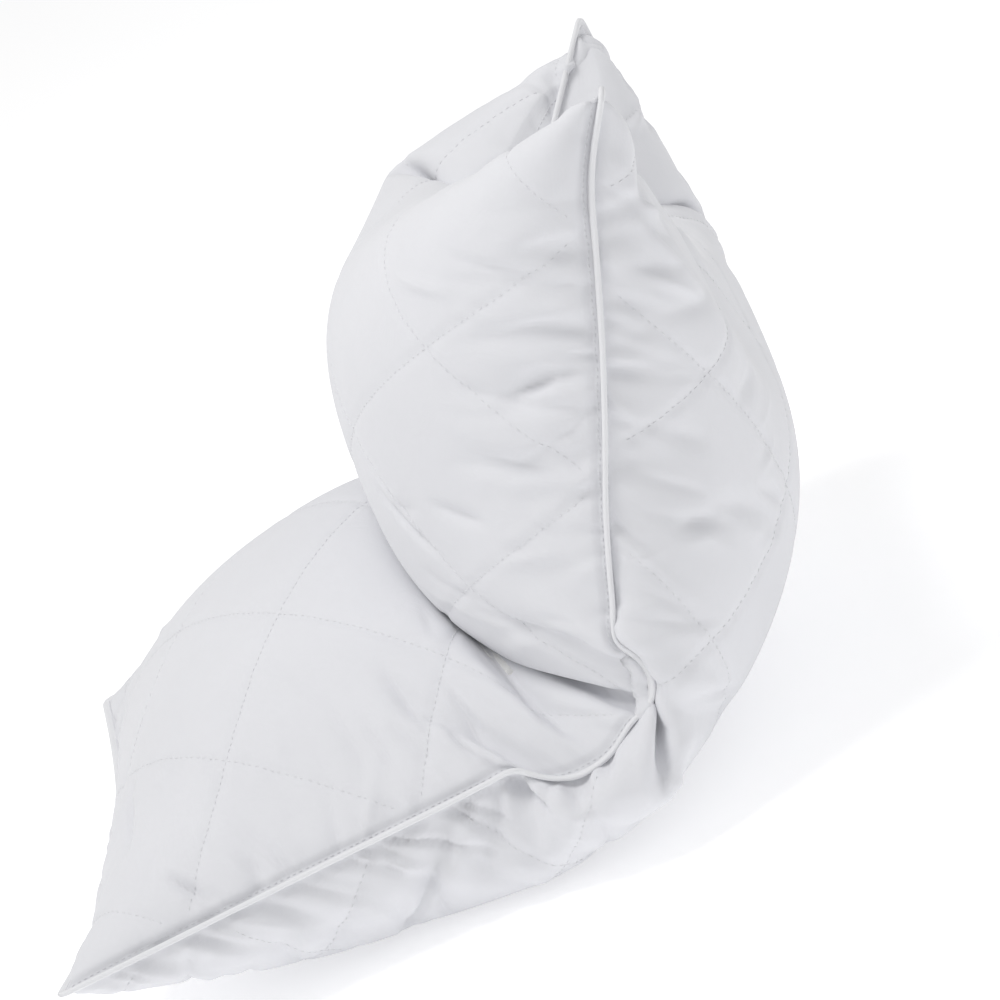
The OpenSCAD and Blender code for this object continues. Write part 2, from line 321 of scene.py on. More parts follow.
def start_shape(cells_along, cells_across):
    """Two panels strung between the seams and puffed a little, as (panel, along, across, xyz)."""
    (low, high, near, far), _ = seam_lines(cells_along, cells_across)
    s = np.linspace(0, 1, cells_along + 1)[:, None, None]
    t = np.linspace(0, 1, cells_across + 1)[None, :, None]
    base = (1 - t) * near[:, None] + t * far[:, None] + (1 - s) * low[None] + s * high[None]
    base -= (1 - s) * (1 - t) * near[0] + (1 - s) * t * far[0] + s * (1 - t) * near[-1] + s * t * far[-1]
    turn = LEAN * np.clip((s - TURN_START) / TURN_SPAN, 0, 1)
    normal = np.concatenate([-np.sin(turn), 0 * turn, np.cos(turn)], 2)
    puff = np.sin(np.pi * s) ** 0.6 * np.sin(np.pi * t) ** 0.7
    up, down = normal * puff * START_PUFF_TOP, normal * puff * START_PUFF_BOTTOM
    return np.stack([base + up, base - down])


def rest_lengths(cells_along, cells_across, seams, length, width):
    """Cut length of every cell, along and across: gathered on to the seams, roomy in the upper half."""
    low, high, near, far = seams
    a = np.linspace(0, length, cells_along + 1)
    b = np.linspace(0, width, cells_across + 1)
    by_near, by_far = (np.exp(-((d / GATHER_REACH) ** 2)) for d in (b, width - b))
    by_low, by_high = (np.exp(-((d / GATHER_REACH) ** 2)) for d in (a, length - a))
    along = length * (1 - by_near - by_far) + GATHER * (near * by_near + far * by_far)
    across = width * (1 - by_low - by_high) + GATHER * (low * by_low + high * by_high)
    along, across = along / cells_along, across / cells_across
    at, widths, lengths = (np.array(row) for row in zip(*ROOM))
    ease = np.stack([np.interp(a, at, widths[:, k]) for k in (0, 1)])
    stretch = np.stack([np.interp(a, at, lengths[:, k]) for k in (0, 1)])[:, :-1, None]
    past = np.clip((a[:-1] - BACK_ROOM_START) / BACK_ROOM_RISE, 0, 1)
    middle = np.sin(np.pi * b / width)[None, :] * past[:, None]
    stretch = stretch * np.stack([1 + 0 * middle, 1 + BACK_ROOM * middle])
    return along[None, None, :] * stretch, (across * ease)[:, :, None]


def pull(a, b, rest, tight, slack):
    """Moves two sets of points towards their rest distance, firmly when stretched, softly when slack."""
    d = b - a
    length = np.sqrt((d * d).sum(-1)) + 1e-12
    part = (length - rest) / length
    part *= np.where(part > 0, tight, slack) * 0.5
    d *= part[..., None]
    a += d
    b -= d


def sew(panels, seams):
    """Puts the edges of both panels back on the seams."""
    panels[:, 0], panels[:, -1], panels[:, :, 0], panels[:, :, -1] = seams


def pairs(count):
    """Slices that pair each line of a grid with the next, every other pair at a time."""
    for k in (0, 1):
        n = (count - 1 - k) // 2 * 2
        yield slice(k, k + n, 2), slice(k + 1, k + n + 1, 2)


def relax(panels, seams, rests, passes, shear, slack, bend):
    """Keeps the cloth's lengths, its weave square and its surface smooth."""
    along, across = rests
    mean = (along[:, :, :-1] + along[:, :, 1:]) ** 2 / 4 + (across[:, :-1] + across[:, 1:]) ** 2 / 4
    diagonal = np.sqrt(mean)
    for _ in range(passes):
        for one, next_one in pairs(panels.shape[1]):
            pull(panels[:, one], panels[:, next_one], along[:, one], 1.0, slack)
        for one, next_one in pairs(panels.shape[2]):
            pull(panels[:, :, one], panels[:, :, next_one], across, 1.0, slack)
        for one, next_one in pairs(panels.shape[1]):
            rest = diagonal[:, one]
            pull(panels[:, one, :-1], panels[:, next_one, 1:], rest, shear, shear * slack)
            pull(panels[:, one, 1:], panels[:, next_one, :-1], rest, shear, shear * slack)
        sew(panels, seams)
    flow = np.zeros_like(panels)
    flow[:, 1:-1, 1:-1] = around(panels) / 4 - panels[:, 1:-1, 1:-1]
    panels[:, 1:-1, 1:-1] -= bend * (around(flow) / 4 - flow[:, 1:-1, 1:-1])
    sew(panels, seams)


def around(grid):
    """Sum of the four neighbours of every inner point."""
    return grid[:, 2:, 1:-1] + grid[:, :-2, 1:-1] + grid[:, 1:-1, 2:] + grid[:, 1:-1, :-2]


def outward(panels):
    """Area-weighted normals of both panels, pointing out of the pillow."""
    normal = np.cross(np.gradient(panels, axis=1), np.gradient(panels, axis=2))
    normal[1] *= -1
    return normal


def touch(panels, crease_row):
    """Holds the cloth off the floor, each half on its side of the fold, and the upper back flat."""
    panels[..., 2] = np.maximum(panels[..., 2], FLOOR_SKIN)
    top = panels[0]
    side = (top - CREASE_FOOT) @ CREASE_SIDE
    deep = (top - CREASE_FOOT) @ CREASE_RISE > CREASE_CLEAR
    lower = np.arange(top.shape[0])[:, None] <= crease_row
    over = deep & lower & (side > -CREASE_SKIN)
    top[over] -= CREASE_SIDE * (side[over] + CREASE_SKIN)[:, None]
    under = deep & ~lower & (side < CREASE_SKIN)
    top[under] -= CREASE_SIDE * (side[under] - CREASE_SKIN)[:, None]
    across = np.minimum(top[..., 1], SLANT_FAR)
    rise, depth = (top - FOLD) @ ALONG_UPPER, (top - FOLD) @ INWARD
    start = SLANT_START - SLANT_SHIFT * across
    steep = SLANT_SLOPE - SLANT_EASING * np.maximum(across, 0)
    proud = depth - np.maximum(SLANT_DEPTH - steep * (rise - start), SLANT_EDGE)
    leaning = ~lower & (rise > start) & (proud > 0)
    top[leaning] -= INWARD * proud[leaning][:, None]
    back = panels[1]
    rise, depth = (back - FOLD) @ ALONG_UPPER, (back - FOLD) @ INWARD
    allowed = FLAT_BACK_DEPTH - FLAT_BACK_SLOPE * (rise - FLAT_BACK_START)
    short = -np.maximum(allowed, FLAT_BACK_EDGE) - depth
    pressed = (rise > FLAT_BACK_START) & (short > 0)
    back[pressed] += INWARD * short[pressed][:, None]


def settle(panels, cut, steps, passes, pressure, slack, bend, shear):
    """Lets the filled cloth find its shape."""
    cells_along, cells_across = panels.shape[1] - 1, panels.shape[2] - 1
    seams, lengths = seam_lines(cells_along, cells_across)
    rests = rest_lengths(cells_along, cells_across, lengths, *cut)
    crease_row = round(CREASE_ALONG / cut[0] * cells_along)
    cell = cut[0] / cells_along * cut[1] / cells_across
    sew(panels, seams)
    old = panels.copy()
    for _ in range(steps):
        now = panels.copy()
        panels += (panels - old) * MOMENTUM + outward(panels) * (pressure / cell)
        old = now
        relax(panels, seams, rests, passes, shear, slack, bend)
        touch(panels, crease_row)
    return panels


def finer(grid):
    """The same cloth on a grid twice as fine, with smooth values in between."""
    for axis in (1, 2):
        grid = np.moveaxis(grid, axis, 0)
        n = grid.shape[0]
        out = np.empty((2 * n - 1,) + grid.shape[1:])
        out[::2] = grid
        wide = np.concatenate([2 * grid[:1] - grid[1:2], grid, 2 * grid[-1:] - grid[-2:-1]])
        out[1::2] = (9 * wide[1:n] + 9 * wide[2 : n + 1] - wide[: n - 1] - wide[3 : n + 2]) / 16
        grid = np.moveaxis(out, 0, axis)
    return np.ascontiguousarray(grid)


@lru_cache(maxsize=2)
def settled_cloth(length, width):
    """Both panels at rest on the floor, folded, as (panel, along, across, xyz). Panel 0 is the top."""
    cut = (length, width)
    coarse, medium, fine = SETTLING
    panels = settle(start_shape(CELLS_ALONG, CELLS_ACROSS), cut, *coarse)
    panels = finer(settle(finer(panels), cut, *medium))
    free = panels[:, 1:-1, 1:-1]
    free += np.random.default_rng(SEED).normal(0, JITTER, free.shape)
    return settle(panels, cut, *fine)


def unit(v):
    """The same vectors with length one."""
    return v / (np.linalg.norm(v, axis=-1, keepdims=True) + 1e-12)


def flat_coordinates(shape, cut):
    """Distance from the lower end and from the near seam of every grid point, in the flat cloth."""
    a = np.linspace(0, cut[0], shape[0])[:, None]
    b = np.linspace(0, cut[1], shape[1])[None, :]
    return np.broadcast_to(a, shape), np.broadcast_to(b, shape)


def flat_uv(shape, cut):
    """Texture coordinates in metres of the flat cloth."""
    return np.stack([side.ravel() for side in flat_coordinates(shape, cut)], 1) + UV_START


def quilt_offsets(a, b, name, pitch):
    """Distance of flat points from the nearest line of each quilting family."""
    stretch = math.hypot(1, QUILT_SLOPE)
    first, second = QUILT_STARTS[name]
    one = (a + QUILT_SLOPE * b - first + pitch / 2) % pitch - pitch / 2
    two = (a - QUILT_SLOPE * b - second + pitch / 2) % pitch - pitch / 2
    return one / stretch, two / stretch


def pucker_field(a, b, cut, rng, drag):
    """Height of the gathers that run in from the seams. The fold drags those below it askew."""
    height = np.zeros(a.shape)
    long_sides = [(a, b, cut[0], drag), (a, cut[1] - b, cut[0], drag)]
    for run, inset, span, pulled in [*long_sides, (b, a, cut[1], 0), (b, cut[0] - a, cut[1], 0)]:
        at = 0.01
        while at < span - 0.01:
            wide = rng.uniform(0.0015, 0.0032)
            reach = 0.012 + rng.exponential(0.018)
            size = rng.normal(-0.35, 0.85) * (1 + 0.6 * (pulled > 0 and at < CREASE_ALONG))
            slant = rng.normal(0, 0.3) + (pulled if at < 0.9 * CREASE_ALONG else 0)
            near = (inset < 3 * reach) & (np.abs(run - at) < 5 * wide + 3 * reach * abs(slant))
            across = (run[near] - at - slant * inset[near]) / (wide * (1 + inset[near] / 0.03))
            fade = (1 - np.exp(-inset[near] / 0.005)) * np.exp(-((inset[near] / reach) ** 2))
            height[near] += size * fade * np.exp(-0.5 * across**2)
            at += rng.uniform(0.004, 0.0105)
    return height


def soft_creases(a, b, cut, rng):
    """Longer shallow creases lying across the panel from its long seams."""
    height = np.zeros(a.shape)
    for _ in range(SOFT_CREASES):
        at = rng.uniform(0.05, cut[0] - 0.03)
        side = rng.integers(2)
        start = rng.uniform(0.0, 0.03) if rng.random() < 0.75 else rng.uniform(0.03, 0.12)
        long = rng.uniform(0.025, 0.085)
        wide = rng.uniform(0.0019, 0.0048)
        slant = rng.normal(0.0, 0.25)
        bend = rng.normal(0.0, 2.5)
        inset = (b if side else cut[1] - b) - start
        line = at + slant * inset + bend * inset**2
        along = np.clip(inset / long, 0, 1)
        ridge = np.sin(np.pi * along) ** 1.2 * np.exp(-0.6 * np.abs((a - line) / wide) ** 1.5)
        height += rng.normal(-0.15, 0.5) * ridge
    return height


def deep_creases(a, b, name):
    """Depth of the hard creases of one panel."""
    depth = np.zeros(a.shape)
    for start, end, reach, wide, deep in DEEP_CREASES[name]:
        share = b / reach
        line = start + (end - start) * share**0.8
        fade = np.clip(1 - share, 0, 1) ** 0.7 * (1 - np.exp(-b / 0.004))
        depth += deep * fade * np.exp(-0.5 * ((a - line) / wide) ** 2)
    return depth


@lru_cache(maxsize=2)
def cover_surface(length, width, pucker, channel, pitch):
    """Outer surface of both covers with its gathers and its sewn channels, and the normals."""
    cut = (length, width)
    panels = finer(settled_cloth(length, width))
    normals = unit(outward(panels))
    a, b = flat_coordinates(panels.shape[1:3], cut)
    from_end, from_side = np.minimum(a, length - a), np.minimum(b, width - b)
    edge = np.minimum(from_side, from_end)
    ears = 1 - np.exp(-((from_end / EAR_FADE) ** 2) - (from_side / EAR_FADE) ** 2)
    for k, name in enumerate(("top", "bottom")):
        rng = np.random.default_rng(SEED + k)
        gathers = pucker_field(a, b, cut, rng, drag=GATHER_DRAG * k)
        gathers = gathers + SOFT_CREASE_SIZE * soft_creases(a, b, cut, rng)
        offsets = quilt_offsets(a, b, name, pitch)
        grooves = sum(np.exp(-0.5 * (d / GROOVE_WIDTH) ** 2) for d in offsets)
        pulls = 0.8 + 0.3 * np.sin(a * 410 + 3 * np.sin(b * 90)) * np.sin(b * 370)
        grooves = np.minimum(grooves, 1.2) * pulls * np.clip(edge / QUILT_MARGIN, 0, 1)
        ditch = np.exp(-(((edge - DITCH_INSET) / DITCH_WIDTH) ** 2)) * (edge > 0)
        lift = pucker * gathers * ears - channel * grooves - DITCH_DEPTHS[k] * ditch
        lift = lift - deep_creases(a, b, name)
        panels[k] += normals[k] * lift[..., None]
    panels[..., 2] = np.maximum(panels[..., 2], CREASED_SKIN)
    return panels, unit(outward(panels))


def sample(grid, a, b, cut):
    """Values of a grid at flat points, by straight interpolation."""
    row = np.clip(a / cut[0] * (grid.shape[0] - 1), 0, grid.shape[0] - 1.001)
    col = np.clip(b / cut[1] * (grid.shape[1] - 1), 0, grid.shape[1] - 1.001)
    i, j = row.astype(int), col.astype(int)
    u, v = (row - i)[..., None], (col - j)[..., None]
    low = grid[i, j] * (1 - v) + grid[i, j + 1] * v
    high = grid[i + 1, j] * (1 - v) + grid[i + 1, j + 1] * v
    return low * (1 - u) + high * u


# ---- meshes


def add_mesh(name, verts, faces, material, uv=None):
    """A smooth-shaded object from arrays of points and four-sided faces."""
    mesh = bpy.data.meshes.new(name)
    faces = np.asarray(faces, np.int32)
    mesh.vertices.add(len(verts))
    mesh.vertices.foreach_set("co", np.asarray(verts, np.float32).ravel())
    mesh.loops.add(faces.size)
    mesh.loops.foreach_set("vertex_index", faces.ravel())
    mesh.polygons.add(len(faces))
    mesh.polygons.foreach_set("loop_start", np.arange(0, faces.size, faces.shape[1], dtype=np.int32))
    if uv is not None:
        layer = mesh.uv_layers.new(name="flat_cloth")
        layer.data.foreach_set("uv", np.asarray(uv, np.float32)[faces.ravel()].ravel())
    mesh.update(calc_edges=True)
    mesh.validate()
    mesh.shade_smooth()
    mesh.materials.append(material)
    obj = bpy.data.objects.new(name, mesh)
    bpy.context.scene.collection.objects.link(obj)
    return obj


def grid_faces(rows, cols, offset=0, flip=False):
    """Faces of a grid of points numbered row by row."""
    index = np.arange(rows * cols).reshape(rows, cols) + offset
    quads = np.stack([index[:-1, :-1], index[1:, :-1], index[1:, 1:], index[:-1, 1:]], -1).reshape(-1, 4)
    return quads[:, ::-1] if flip else quads


def rim_ring(rows, cols):
    """Numbers of a grid's border points in order round it."""
    index = np.arange(rows * cols).reshape(rows, cols)
    return np.r_[index[:-1, 0], index[-1, :-1], index[:0:-1, -1], index[0, :0:-1]]


def add_shell(name, outer, inner, material, turned, uv):
    """A closed sheet between two grids of the same size. The outer one faces out."""
    rows, cols = outer.shape[:2]
    ring = rim_ring(rows, cols)
    step = np.roll(ring, -1)
    count = rows * cols
    rim = np.stack([ring, ring + count, step + count, step], -1)
    faces = [grid_faces(rows, cols, 0, turned), grid_faces(rows, cols, count, not turned)]
    faces.append(rim[:, ::-1] if turned else rim)
    verts = np.vstack([outer.reshape(-1, 3), inner.reshape(-1, 3)])
    return add_mesh(name, verts, np.vstack(faces), material, np.vstack([uv, uv]))


def add_tube(name, path, outs, ups, profile, material, around_scale):
    """A closed loop of tube along a path. Its profile is a ring of (out, up) points."""
    n, m = len(path), len(profile)
    verts = path[:, None] + outs[:, None] * profile[None, :, :1] + ups[:, None] * profile[None, :, 1:]
    i = np.arange(n)[:, None]
    j = np.arange(m)[None, :]
    here, there, next_j = i * m, (i + 1) % n * m, (j + 1) % m
    quad = np.stack([here + j, here + next_j, there + next_j, there + j], -1)
    run = np.r_[0, np.cumsum(np.linalg.norm(np.diff(path, axis=0), axis=1))]
    girth = np.arange(m)[None, :] / m * around_scale
    uv = np.stack(np.broadcast_arrays(run[:, None], girth), -1).reshape(-1, 2)
    return add_mesh(name, verts.reshape(-1, 3), quad.reshape(-1, 4), material, uv)


def add_stitches(name, rows, length, radius, material):
    """Many short threads, each sinking into the cloth at both ends.

    A row is (middles, directions, normals). A section is (place along, height, thickness)."""
    middles, alongs, ups = (np.vstack([row[k] for row in rows]) for k in range(3))
    alongs = unit(alongs)
    sides = unit(np.cross(ups, alongs))
    end, shoulder = (0.5, -1.2, 0.35), (0.36, -0.1, 0.95)
    sections = [(-end[0], *end[1:]), (-shoulder[0], *shoulder[1:]), (0.0, 0.45, 1.0), shoulder, end]
    sides_round = 6
    turns = np.linspace(0, 2 * np.pi, sides_round, endpoint=False)
    rings = []
    for shift, sink, swell in sections:
        centre = middles + alongs * shift * length + ups * sink * radius
        for turn in turns:
            rings.append(centre + radius * swell * (math.cos(turn) * sides + math.sin(turn) * ups))
    verts = np.stack(rings, 1)
    count = len(sections)
    faces = []
    for i in range(count - 1):
        for j in range(sides_round):
            k = (j + 1) % sides_round
            low, high = i * sides_round, (i + 1) * sides_round
            faces.append((low + j, low + k, high + k, high + j))
    last = (count - 1) * sides_round
    faces += [(0, 5, 4, 3), (0, 3, 2, 1)]
    faces += [(last, last + 1, last + 2, last + 3), (last, last + 3, last + 4, last + 5)]
    per = verts.shape[1]
    all_faces = (np.arange(len(verts))[:, None, None] * per + np.array(faces)[None]).reshape(-1, 4)
    return add_mesh(name, verts.reshape(-1, 3), all_faces, material)


def stitch_row(surface, normals, a, b, cut):
    """Middles, directions and normals of stitches at flat points given in order."""
    middles = sample(surface, a, b, cut)
    return middles, np.gradient(middles, axis=0), unit(sample(normals, a, b, cut))


def full_length(obj, slot):
    """Puts a piece in the place of its two CAD nodes, which it hides, and bakes its transform into its
    mesh.
    """
    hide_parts(f"{obj.name}_lower", f"{obj.name}_upper")
    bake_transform(obj)


# ---- materials


def new_material(name):
    """A node material, its tree, its shader and the outputs of its texture coordinates."""
    material = bpy.data.materials.new(name)
    material.use_nodes = True
    tree = material.node_tree
    return material, tree, tree.nodes["Principled BSDF"], node(tree, "ShaderNodeTexCoord")


def fill_sockets(tree, target, sockets):
    """Gives each named socket of a node its constant, or its link when the value is an output."""
    for key, value in sockets.items():
        if isinstance(value, bpy.types.NodeSocket):
            tree.links.new(value, target.inputs[key])
        else:
            target.inputs[key].default_value = value


def node(tree, kind, sockets=None, **settings):
    """The outputs of a new node with the given settings and sockets."""
    made = tree.nodes.new(kind)
    for key, value in settings.items():
        setattr(made, key, value)
    fill_sockets(tree, made, sockets or {})
    return made.outputs


def tinted(tree, pattern, colour, darkest, ends=(0.0, 1.0)):
    """The colour, darkened where the pattern is low."""
    ramp = tree.nodes.new("ShaderNodeValToRGB")
    tree.links.new(pattern, ramp.inputs["Fac"])
    for stop, place, shade in zip(ramp.color_ramp.elements, ends, (darkest, 1)):
        stop.position = place
        stop.color = (*[c * shade for c in colour], 1)
    return ramp.outputs["Color"]


def spread(tree, pattern, low, high):
    """The pattern as values from low to high."""
    return node(tree, "ShaderNodeMapRange", {"Value": pattern, "To Min": low, "To Max": high})["Result"]


def relief(tree, height, strength, distance, **more):
    """A bumpy normal."""
    sockets = {"Strength": strength, "Distance": distance, "Height": height, **more}
    return node(tree, "ShaderNodeBump", sockets)["Normal"]


def noise(tree, place, scale, detail, **more):
    """A cloudy pattern."""
    sockets = {"Vector": place, "Scale": scale, "Detail": detail, **more}
    return node(tree, "ShaderNodeTexNoise", sockets)["Fac"]


def woven_cloth(name, colour, yarn, rough=0.82, sheen=0.25):
    """Plain-woven cotton: crossing yarns in relief, a soft sheen and faint unevenness."""
    weave_depth, rumple_depth, mottle, rough_spread = 0.00005, 0.0014, 0.035, 0.06
    material, tree, shader, places = new_material(name)
    flat = places["UV"]
    yarns = {"Vector": flat, "Scale": 0.314 / yarn, "Distortion": 0.6, "Detail": 1.0}
    warp, weft = (node(tree, "ShaderNodeTexWave", yarns, bands_direction=way)["Fac"] for way in "XY")
    weave = node(tree, "ShaderNodeMath", {0: warp, 1: weft}, operation="MULTIPLY")[0]
    slub = noise(tree, flat, 900.0, 3.0, Roughness=0.6)
    height = node(tree, "ShaderNodeMath", {0: weave, 1: slub}, operation="ADD")[0]
    rumple = noise(tree, flat, 46.0, 4.0, Roughness=0.55, Distortion=0.8)
    yarn_normal = relief(tree, height, 0.5, weave_depth)
    cloud = noise(tree, flat, 9.0, 5.0, Roughness=0.6)
    finish = {
        "Base Color": tinted(tree, cloud, colour, 1 - mottle, (0.3, 0.7)),
        "Roughness": spread(tree, slub, rough - rough_spread, rough + rough_spread),
        "Normal": relief(tree, rumple, 0.35, rumple_depth, Normal=yarn_normal),
        "Sheen Weight": sheen,
        "Sheen Roughness": 0.45,
        "Specular IOR Level": 0.25,
        "Subsurface Weight": 0.06,
        "Subsurface Radius": (0.012, 0.012, 0.012),
        "Subsurface Scale": 0.5,
    }
    fill_sockets(tree, shader, finish)
    return material


def twisted_thread(name, colour):
    """Spun thread: fine slanting plies and a dull shine."""
    material, tree, shader, places = new_material(name)
    twist = {"Vector": places["Object"], "Scale": 900.0, "Distortion": 1.5}
    plies = node(tree, "ShaderNodeTexWave", twist, bands_direction="DIAGONAL")["Fac"]
    finish = {
        "Base Color": tinted(tree, plies, colour, 0.86),
        "Roughness": spread(tree, plies, 0.55, 0.75),
        "Normal": relief(tree, plies, 0.4, 0.00008),
        "Sheen Weight": 0.3,
        "Specular IOR Level": 0.35,
    }
    fill_sockets(tree, shader, finish)
    return material


def loose_fibre(name, colour, scale, depth):
    """Matted fibre: tangled relief and paler tufts."""
    material, tree, shader, places = new_material(name)
    tangle = noise(tree, places["Object"], scale, 8.0, Roughness=0.7, Distortion=2.5)
    finish = {
        "Base Color": tinted(tree, tangle, colour, 0.88),
        "Roughness": spread(tree, tangle, 0.85, 0.98),
        "Normal": relief(tree, tangle, 0.8, depth),
        "Sheen Weight": 0.5,
        "Specular IOR Level": 0.1,
    }
    fill_sockets(tree, shader, finish)
    return material


def studio_paper(colour):
    """Matte white paper with faint fibres and a faint glow."""
    material, tree, shader, places = new_material("studio_paper")
    finish = {
        "Base Color": tinted(tree, noise(tree, places["Object"], 60.0, 3.0), colour, 0.995),
        "Roughness": 0.95,
        "Specular IOR Level": 0.05,
        "Emission Color": (1, 1, 1, 1),
        "Emission Strength": 0.33,
    }
    fill_sockets(tree, shader, finish)
    return material


# ---- settings


def number_prop(name, description, default, **settings):
    """A plain number, never below zero."""
    return FloatProperty(name=name, description=description, default=default, min=0.0, **settings)


def length_prop(name, description, default):
    """A size in metres."""
    return number_prop(name, description, default, unit="LENGTH", precision=5)


def angle_prop(name, description, degrees):
    """An angle, given in degrees."""
    return number_prop(name, description, math.radians(degrees), subtype="ANGLE")


def colour_prop(name, description, default):
    """A colour without transparency."""
    limits = {"min": 0.0, "max": 1.0, "subtype": "COLOR"}
    return FloatVectorProperty(name=name, description=description, default=default, **limits)


class PillowCloth(bpy.types.PropertyGroup):
    """The two covers."""

    cut_length: length_prop("Cut length", "Length of a cover panel laid flat, seam to seam", 0.672)
    cut_width: length_prop("Cut width", "Width of a cover panel laid flat, seam to seam", 0.518)
    thickness: length_prop("Cloth thickness", "Thickness of the cover cloth", 0.0008)
    pucker: length_prop("Pucker height", "Mean height of the gathers along the seams", 0.0023)
    channel: length_prop("Channel depth", "How deep the quilting pulls the cloth in", 0.0012)
    colour: colour_prop("Cover colour", "Colour of the cotton", (0.725, 0.73, 0.76))


class PillowPiping(bpy.types.PropertyGroup):
    """The piping in the seam."""

    width: length_prop("Piping width", "Width of the piping, across the seam", 0.0050)
    height: length_prop("Piping height", "Height of the piping, through the seam", 0.0030)
    cord_radius: length_prop("Cord radius", "Radius of the cord inside the piping", 0.0008)
    colour: colour_prop("Piping colour", "Colour of the piping cloth", (0.75, 0.755, 0.775))
    cord_colour: colour_prop("Cord colour", "Colour of the cotton cord", (0.78, 0.76, 0.70))


class PillowStitching(bpy.types.PropertyGroup):
    """All sewing thread."""

    quilt_pitch: length_prop("Quilting pitch", "Spacing of the quilting lines along the seam", 0.133)
    stitch_pitch: length_prop("Stitch pitch", "Distance from stitch to stitch", 0.0045)
    stitch_length: length_prop("Stitch length", "Length of thread that shows in each stitch", 0.0029)
    thread_radius: length_prop("Thread radius", "Radius of the sewing thread", 0.00028)
    seam_inset: length_prop("Edge stitch inset", "Distance of the edge stitching from the seam", 0.0026)
    closing_inset: length_prop("Closing inset", "Distance of the closing stitches from the end", 0.008)
    closing_length: length_prop("Closing length", "Length of the closed filling hole", 0.160)
    colour: colour_prop("Thread colour", "Colour of the thread", (0.755, 0.76, 0.785))


class PillowFilling(bpy.types.PropertyGroup):
    """The layers under the covers."""

    wadding: length_prop("Wadding thickness", "Thickness of the wadding", 0.006)
    lining: length_prop("Lining thickness", "Thickness of the lining", 0.0008)
    gap: length_prop("Layer gap", "Gap between one layer and the next", 0.0008)
    inset: length_prop("Layer inset", "How far the layers end short of the seams", 0.08)
    end_inset: length_prop("End inset", "How far the layers end short of the sunk upper end seam", 0.175)
    wadding_colour: colour_prop("Wadding colour", "Colour of the wadding", (0.88, 0.88, 0.87))
    lining_colour: colour_prop("Lining colour", "Colour of the lining", (0.85, 0.85, 0.84))
    fill_colour: colour_prop("Fill colour", "Colour of the loose fill", (0.90, 0.89, 0.86))


class PillowStage(bpy.types.PropertyGroup):
    """Floor, light and camera."""

    floor_size: length_prop("Floor size", "Side of the square floor", 40.0)
    floor_colour: colour_prop("Floor colour", "Colour of the floor", (0.93, 0.93, 0.935))
    sky: number_prop("Sky strength", "Strength of the even light from all sides", 0.63)
    key: number_prop("Key power", "Power of the soft main light", 28.0, unit="POWER")
    back: number_prop("Back power", "Power of the light from behind", 3.0, unit="POWER")
    azimuth: angle_prop("Camera azimuth", "Direction of the camera round the pillow", 6)
    elevation: angle_prop("Camera elevation", "Height of the camera as an angle", 17)
    roll: angle_prop("Camera roll", "Tilt of the picture", 26)
    distance: length_prop("Camera distance", "Distance from the camera to the near seam", 2.3)
    lens: number_prop("Lens", "Focal length", 160.6, unit="CAMERA")
    divisions: IntProperty(name="Floor tiles", description="Tiles along each side", default=24, min=1)



GROUPS = {
    "pillow_cloth": PillowCloth,
    "pillow_piping": PillowPiping,
    "pillow_stitching": PillowStitching,
    "pillow_filling": PillowFilling,
    "pillow_stage": PillowStage,
}


def cut_size(scene):
    """Length and width of a cover panel."""
    return scene.pillow_cloth.cut_length, scene.pillow_cloth.cut_width


def outer_cloth(scene):
    """Surface and normals of both covers for the current settings."""
    cloth = scene.pillow_cloth
    pitch = scene.pillow_stitching.quilt_pitch
    return cover_surface(*cut_size(scene), cloth.pucker, cloth.channel, pitch)


# ---- operators


class PILLOW_OT_covers(bpy.types.Operator):
    """Build the top and the bottom cover"""

    bl_idname = "pillow.covers"
    bl_label = "Covers"

    def execute(self, context):
        cloth = context.scene.pillow_cloth
        surface, normals = outer_cloth(context.scene)
        cotton = woven_cloth("white_percale", cloth.colour, yarn=0.0006)
        uv = flat_uv(surface.shape[1:3], cut_size(context.scene))
        for k, name in enumerate(("top_cover", "bottom_cover")):
            inner = surface[k] - normals[k] * cloth.thickness
            inner[0], inner[-1] = surface[k][0], surface[k][-1]
            obj = add_shell(name, surface[k], inner, cotton, turned=bool(k), uv=uv)
            full_length(obj, "cover_cloth")
        return {"FINISHED"}


def smoothed(loop):
    """A closed loop of values, each averaged with its neighbours."""
    return (np.roll(loop, 1, 0) + 2 * loop + np.roll(loop, -1, 0)) / 4


def seam_frames(panels):
    """Evenly spaced points round the whole seam, with the ways out of the pillow and up through it."""
    rows, cols = panels.shape[1:3]
    deep = PIPING_LOOK_IN
    i, j = np.meshgrid(np.arange(rows), np.arange(cols), indexing="ij")
    i, j = np.clip(i, deep, rows - 1 - deep), np.clip(j, deep, cols - 1 - deep)
    inner = panels[:, i, j].reshape(2, -1, 3)
    ring = rim_ring(rows, cols)
    edge, inner = panels[0].reshape(-1, 3)[ring], inner[:, ring]
    outs, ups = edge - (inner[0] + inner[1]) / 2, inner[0] - inner[1]
    run = np.r_[0, np.cumsum(np.linalg.norm(np.roll(edge, -1, 0) - edge, axis=1))]
    at = np.arange(0, run[-1], PIPING_STEP)
    loop = [np.vstack([v, v[:1]]) for v in (edge, unit(outs), unit(ups))]
    path, outs, ups = (np.stack([np.interp(at, run, v[:, k]) for k in range(3)], 1) for v in loop)
    for _ in range(2):
        path = smoothed(path)
    for _ in range(10):
        outs, ups = smoothed(outs), smoothed(ups)
    tangents = unit(np.roll(path, -1, 0) - np.roll(path, 1, 0))
    outs = unit(outs - tangents * (outs * tangents).sum(1, keepdims=True))
    straight = np.cross(tangents, outs)
    straight *= np.sign((straight * ups).sum())
    return path, outs, unit(straight)


